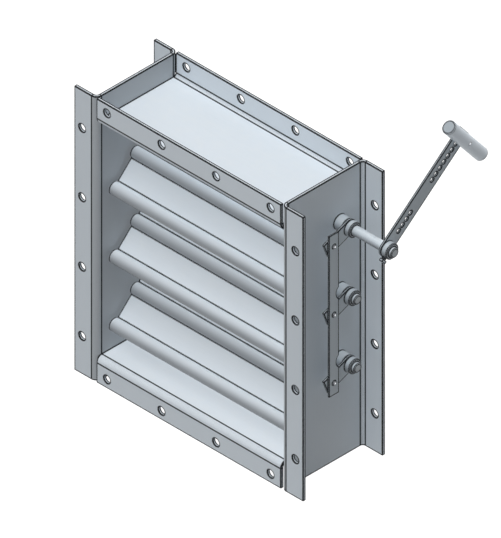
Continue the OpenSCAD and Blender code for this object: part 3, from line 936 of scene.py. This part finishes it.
# %% Shafts and spacers
spacer_r, spacer_gap = 13, 0.2
for i in BLADES:
    left, right = span(f"shaft_{i}", "X")
    shaft = bar_profile(left, right, shaft_r)
    turn_piece(f"turned_shaft_{i}", shaft, along_shaft(i), f"shaft_{i}", "shaft_steel")
    start, end = span(f"spacers_{i}", "X")
    blade_start, blade_end = span(f"blade_{i}", "X")
    bm = bmesh.new()
    for lo, hi in ((blade_end + spacer_gap, end), (start, blade_start - spacer_gap)):
        lathe(bm, tube_profile(lo, hi, spacer_r, shaft_r, nip=0.5), along_shaft(i))
    make_piece(f"shaft_spacers_{i}", bm, [f"spacers_{i}"], "turned_steel")
    print(f"shaft {i}:", round(left, 1), "to", round(right, 1))

# %% [markdown]
# ## Collars, hubs and cranks
#
# The collar that keeps each shaft in place, the hub of each crank and the hub of the lever are
# cross-drilled for a screw. A lathe can't make that hole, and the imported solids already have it, so
# they are softened like the channels. The flat crank arms, the lever arm and the link bar are cut
# from bar and drilled, and get the same treatment with a slightly larger rounding.

# %% Drilled and flat pieces
for i in BLADES:
    soften(f"collar_{i}", "turned_steel", edge=0.3)
    soften(f"crank_hub_{i}", "turned_steel", edge=0.3)
    piece = soften(f"crank_arm_{i}", "bar_steel", edge=0.4)
soften("lever_hub", "turned_steel", edge=0.3)
soften("lever_arm", "bar_steel", edge=0.4)
soften("link_bar", "bar_steel", edge=0.35)
print("crank arm has", faces_of(piece), "faces")

# %% [markdown]
# ## Rivets and pins
#
# Three rivets through each roll hold the sheet on its shaft. They are marked out in whole
# millimetres, and each is closed with a hammer or a snap, so its heads are low domes. The crank
# pins have a domed head at the back of the arm and a chamfered end in front, which shows as a
# bright dot in the link bar. A dome is a quarter ellipse, so one function draws both.

# %% Rivets and crank pins


def dome(base, top, radius, step=12):
    """Profile of a dome from its rim to its top."""
    turns = range(0, 91, step)
    points = [(base + (top - base) * sin(radians(a)), radius * cos(radians(a))) for a in turns]
    return points[:-1] + [(top, 0)]


rivet_head_r, rivet_head_t, rivet_dome, rivet_skirt = 4.5, 1.2, 1.5, 1.6
head_top = roll_mid_r + blade_t / 2 + rivet_head_t
rim, foot = head_top - rivet_dome, head_top - rivet_dome - rivet_skirt
profile = [(foot, 0), (foot, rivet_head_r)] + dome(rim, head_top, rivet_head_r)
for i in BLADES:
    start, end = [round(x) for x in span(f"blade_rivets_{i}", "X")]
    middles = (start + rivet_head_r, (start + end) / 2, end - rivet_head_r)
    bm = bmesh.new()
    for x in middles:
        for turn in (90, -90):
            swing = turned("X", -blade_open) @ turned("Z", turn)
            lathe(bm, profile, Matrix.Translation(on_shaft(i, x)) @ swing, turns=32)
    make_piece(f"rivets_{i}", bm, [f"blade_rivets_{i}"], "fastener_steel")
print("rivet heads per blade:", 2 * len(middles), "at x =", [round(x, 1) for x in middles])

pin_r, pin_head_r, pin_head_t, pin_dome, pin_nip = 4.0, 6.0, 2.5, 1.125, 0.8
for i in BLADES:
    start, end = span(f"crank_pin_{i}", "X")
    at = along_shaft(i) @ turned("X", crank_droop) @ Matrix.Translation(mm(0, -crank_throw, 0))
    head = dome(start + pin_dome, start, pin_head_r)[::-1]
    neck = [(start + pin_head_t, pin_head_r), (start + pin_head_t, pin_r)]
    tip = [(end - pin_nip, pin_r), (end, pin_r - pin_nip), (end, 0)]
    turn_piece(f"crank_pivot_{i}", head + neck + tip, at, f"crank_pin_{i}", "pin_steel",
               turns=48, slot="fastener_steel")
print("crank pins are", round(end - start, 1), "mm long")

# %% [markdown]
# ## Screws
#
# The grub screws have a hexagon socket, the set screw and the counterweight bolt have hexagon
# heads. The corners of such a head are turned off by a cone, which leaves a curved edge. Each ring
# of points is worked out from the hexagon's own radius at that angle, and the thread is a helix in
# the radius of a round bar, to catch the light.

# %% Hexagons, sockets and threads
CROWN_SHARE = 0.94
CONE_SLOPE = 0.577


def hexagon_radius(angle, flats):
    """Distance from the middle of a hexagon to its side at an angle."""
    return flats / 2 / cos((angle % (pi / 3)) - pi / 6)


def ring(bm, place, points):
    """A ring of vertices from (along, radius, angle) points."""
    return [bm.verts.new(place @ Vector(mm(x, r * cos(a), r * sin(a)))) for x, r, a in points]


def hex_head(bm, place, start, end, flats, corners=72):
    """A hexagon head whose outer end, at end, is turned off by a 30 degree cone."""
    angles = [2 * pi * k / corners for k in range(corners)]
    way = 1 if end > start else -1
    face_r = flats / 2 * CROWN_SHARE
    drop = [way * (hexagon_radius(a, flats) - face_r) * CONE_SLOPE for a in angles]
    rings_to_faces(bm, [
        ring(bm, place, [(start, hexagon_radius(a, flats), a) for a in angles]),
        ring(bm, place, [(end - d, hexagon_radius(a, flats), a) for a, d in zip(angles, drop)]),
        ring(bm, place, [(end, face_r, a) for a in angles]),
    ])


def threaded(bm, place, start, end, radius, pitch, sides=40):
    """A threaded bar: its radius follows a helix, eight rows of points to each turn."""
    depth = pitch / 2
    rows = max(4, ceil(abs(end - start) / pitch * 8))
    rings = []
    for row in range(rows + 1):
        x = start + (end - start) * row / rows
        points = []
        for k in range(sides):
            turn = k / sides
            wave = 0.5 - 0.5 * cos(2 * pi * ((x - start) / pitch - turn))
            points.append((x, radius - depth * wave, 2 * pi * turn))
        rings.append(ring(bm, place, points))
    rings_to_faces(bm, rings)


def socket_screw(bm, place, start, end, radius, flats, deep, corners=48):
    """A headless screw with a hexagon socket in its outer end."""
    nip, lip_deep, lip_wide = 0.5, 0.2, 0.15
    angles = [2 * pi * k / corners for k in range(corners)]
    rings_to_faces(bm, [
        ring(bm, place, [(start, radius, a) for a in angles]),
        ring(bm, place, [(end - nip, radius, a) for a in angles]),
        ring(bm, place, [(end, radius - nip, a) for a in angles]),
        ring(bm, place, [(end, hexagon_radius(a, flats) + lip_wide, a) for a in angles]),
        ring(bm, place, [(end - lip_deep, hexagon_radius(a, flats), a) for a in angles]),
        ring(bm, place, [(end - deep, hexagon_radius(a, flats), a) for a in angles]),
    ])


print("a hexagon is", round(2 * hexagon_radius(0, 1), 3), "times as wide over its corners")

# %% Grub screws
grub_r, grub_sunk, grub_flats, grub_socket = 3.0, 0.5, 3.0, 2.4
hub_r, collar_r = 30.5 / 2, 16.0
spoke = turned("X", crank_droop) @ turned("Z", 90)
for i in BLADES:
    bm = bmesh.new()
    for node, outer_r in ((f"collar_{i}", collar_r), (f"crank_hub_{i}", hub_r)):
        place = Matrix.Translation(on_shaft(i, middle(node, "X"))) @ spoke
        socket_screw(bm, place, shaft_r, outer_r - grub_sunk, grub_r, grub_flats, grub_socket)
    make_piece(f"grub_screw_pair_{i}", bm, [f"grub_screws_{i}"], "fastener_steel")
print("grub screws:", 2 * len(BLADES))

# %% [markdown]
# ## Lever screw, counterweight and its bolt
#
# The set screw enters the lever's hub opposite the arm. The counterweight is a round bar with a
# flat milled where it lies on the arm. It is turned first, and then the flat is made as a mill
# does: whatever would stand behind the arm's face is pushed back onto it. Its body is plated, and
# its ends are as the saw left them.

# %% Set screw
lever_hub_r = 31.6 / 2
hex_flats, hex_t = 13.0, 5.3
set_gap, set_r, set_pitch = 4.0, 4.0, 1.25
off_shaft, into_head = 0.1, 0.5
lever_turn = turned("X", lever_rise)
place = Matrix.Translation(on_shaft(1, middle("lever_hub", "X"))) @ lever_turn @ turned("Z", -90)
head_at = lever_hub_r + set_gap
bm = bmesh.new()
threaded(bm, place, shaft_r + off_shaft, head_at + into_head, set_r, set_pitch)
hex_head(bm, place, head_at, head_at + hex_t, hex_flats)
make_piece("lever_clamp_screw", bm, ["lever_set_screw"], "bolt_steel", edge=0.2, segments=1,
           slot="fastener_steel")
print("set screw head stands", set_gap, "mm off the hub")

# %% Counterweight, bolt and washer
hole_pitch, first_outer_hole, holes_past_it = 12.7, 145, 7
weight_r, weight_len = 13.5, 127.0
weight_at = first_outer_hole + holes_past_it * hole_pitch
weight_mid_x = span("counterweight", "X")[1] - weight_r
arm_back, arm_face = span("lever_arm", "X")
on_arm = along_shaft(1) @ lever_turn @ Matrix.Translation(mm(0, weight_at, 0))
across_arm = on_arm @ Matrix.Translation(mm(weight_mid_x, 0, 0)) @ turned("Y", -90)
bm = bmesh.new()
lathe(bm, bar_profile(-weight_len / 2, weight_len / 2, weight_r), across_arm, turns=96)
behind = [corner for corner in bm.verts if corner.co.x < mm(arm_face)]
for corner in behind:
    corner.co.x = mm(arm_face)
weight = make_piece("counterweight_bar", bm, ["counterweight"], "plated_bar", edge=0.3,
                    slot="turned_steel")
weight.data.materials.append(finishes["sawn_end"])
weight_axis = across_arm.to_3x3() @ Vector((1, 0, 0))
for face in weight.data.polygons:
    face.material_index = int(abs(face.normal.dot(weight_axis)) > 0.99)
print("points pushed onto the flat:", len(behind))

bolt_r, washer_t, washer_r, washer_gap = 4.0, 1.6, 9.0, 0.03
bolt_end = span("weight_bolt", "X")[1]
seat = arm_back - washer_t
bm = bmesh.new()
hex_head(bm, on_arm, seat, seat - hex_t, hex_flats)
lathe(bm, bar_profile(seat, bolt_end, bolt_r, nip=0.5), on_arm, turns=40)
make_piece("counterweight_bolt", bm, ["weight_bolt"], "pin_steel", edge=0.15, segments=1,
           slot="fastener_steel")
washer = tube_profile(seat, arm_back, washer_r, bolt_r + washer_gap, nip=0.3, lip=0.2)
turn_piece("bolt_washer", washer, on_arm, "weight_washer", "fastener_steel", turns=48)
print("bolt from x =", round(seat - hex_t, 1), "to", round(bolt_end, 1))

# %% [markdown]
# ## Welds
#
# The channels are welded where they meet and the stops are stitched to them, but a neat maker welds
# where it doesn't show: in the troughs, at the rear, and behind the stops. So the picture's side
# stays crisp and the hidden sides carry the beads. A bead is laid in short overlapping puddles, and
# those leave the ripples that `weld` makes by letting its size swell and shrink along the path.

# %% Welds on the hidden sides
rim_z = span("left_channel", "Z")[1]
trough_leg, rear_leg, stitch_leg = 5.0, 6.0, 2.8
short_of_bend, short_of_rim, below_face = 4, 2, 1
bm = bmesh.new()
troughs = [(-1, -1), (1, -1), (1, 1)]
for side, end in troughs:
    x, z = side * throat_x, end * (ceiling_z + plate_t)
    reach = bend_outside + short_of_bend
    weld(bm, [(x, reach, z), (x, frame_depth - reach, z)], trough_leg, (-side, 0, 0), (0, 0, end))
rear_corners = [(-1, -1), (1, -1), (-1, 1), (1, 1)]
for side, end in rear_corners:
    x, y = side * throat_x, frame_depth - plate_t - below_face
    path = [(x, y, end * (ceiling_z + bend_outside)), (x, y, end * (rim_z - short_of_rim))]
    weld(bm, path, rear_leg, (side, 0, 0), (0, 1, 0))
make_piece("frame_welds", bm, [], "weld_steel", slot="frame_steel")

stitch_len, stitches = 30.0, 5
bm = bmesh.new()
for node, inward, up in (("top_stop", 1, -1), ("bottom_stop", 0, 1)):
    foot_y, foot_z = span(node, "Y")[1], span(node, "Z")[inward]
    for k in range(stitches):
        x = (k - (stitches - 1) / 2) * (2 * throat_x / stitches)
        path = [(x - stitch_len / 2, foot_y, foot_z), (x + stitch_len / 2, foot_y, foot_z)]
        weld(bm, path, stitch_leg, (0, 1, 0), (0, 0, up))
make_piece("stop_stitches", bm, [], "weld_steel", slot="frame_steel")
print("welds:", len(troughs), "in troughs,", len(rear_corners), "rear,", 2 * stitches, "stitches")

# %% [markdown]
# ## Check the size
#
# Nothing that was added may stand outside the solids. The boxes before and after are measured, and
# their largest difference is printed.

# %% Measure both boxes and finish
seen_box = [list(corner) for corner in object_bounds()]
grown = max(abs(a - b) for c, v in zip(cad_box, seen_box) for a, b in zip(c, v))
print("largest difference between the boxes in mm:", round(grown * 1000, 3))
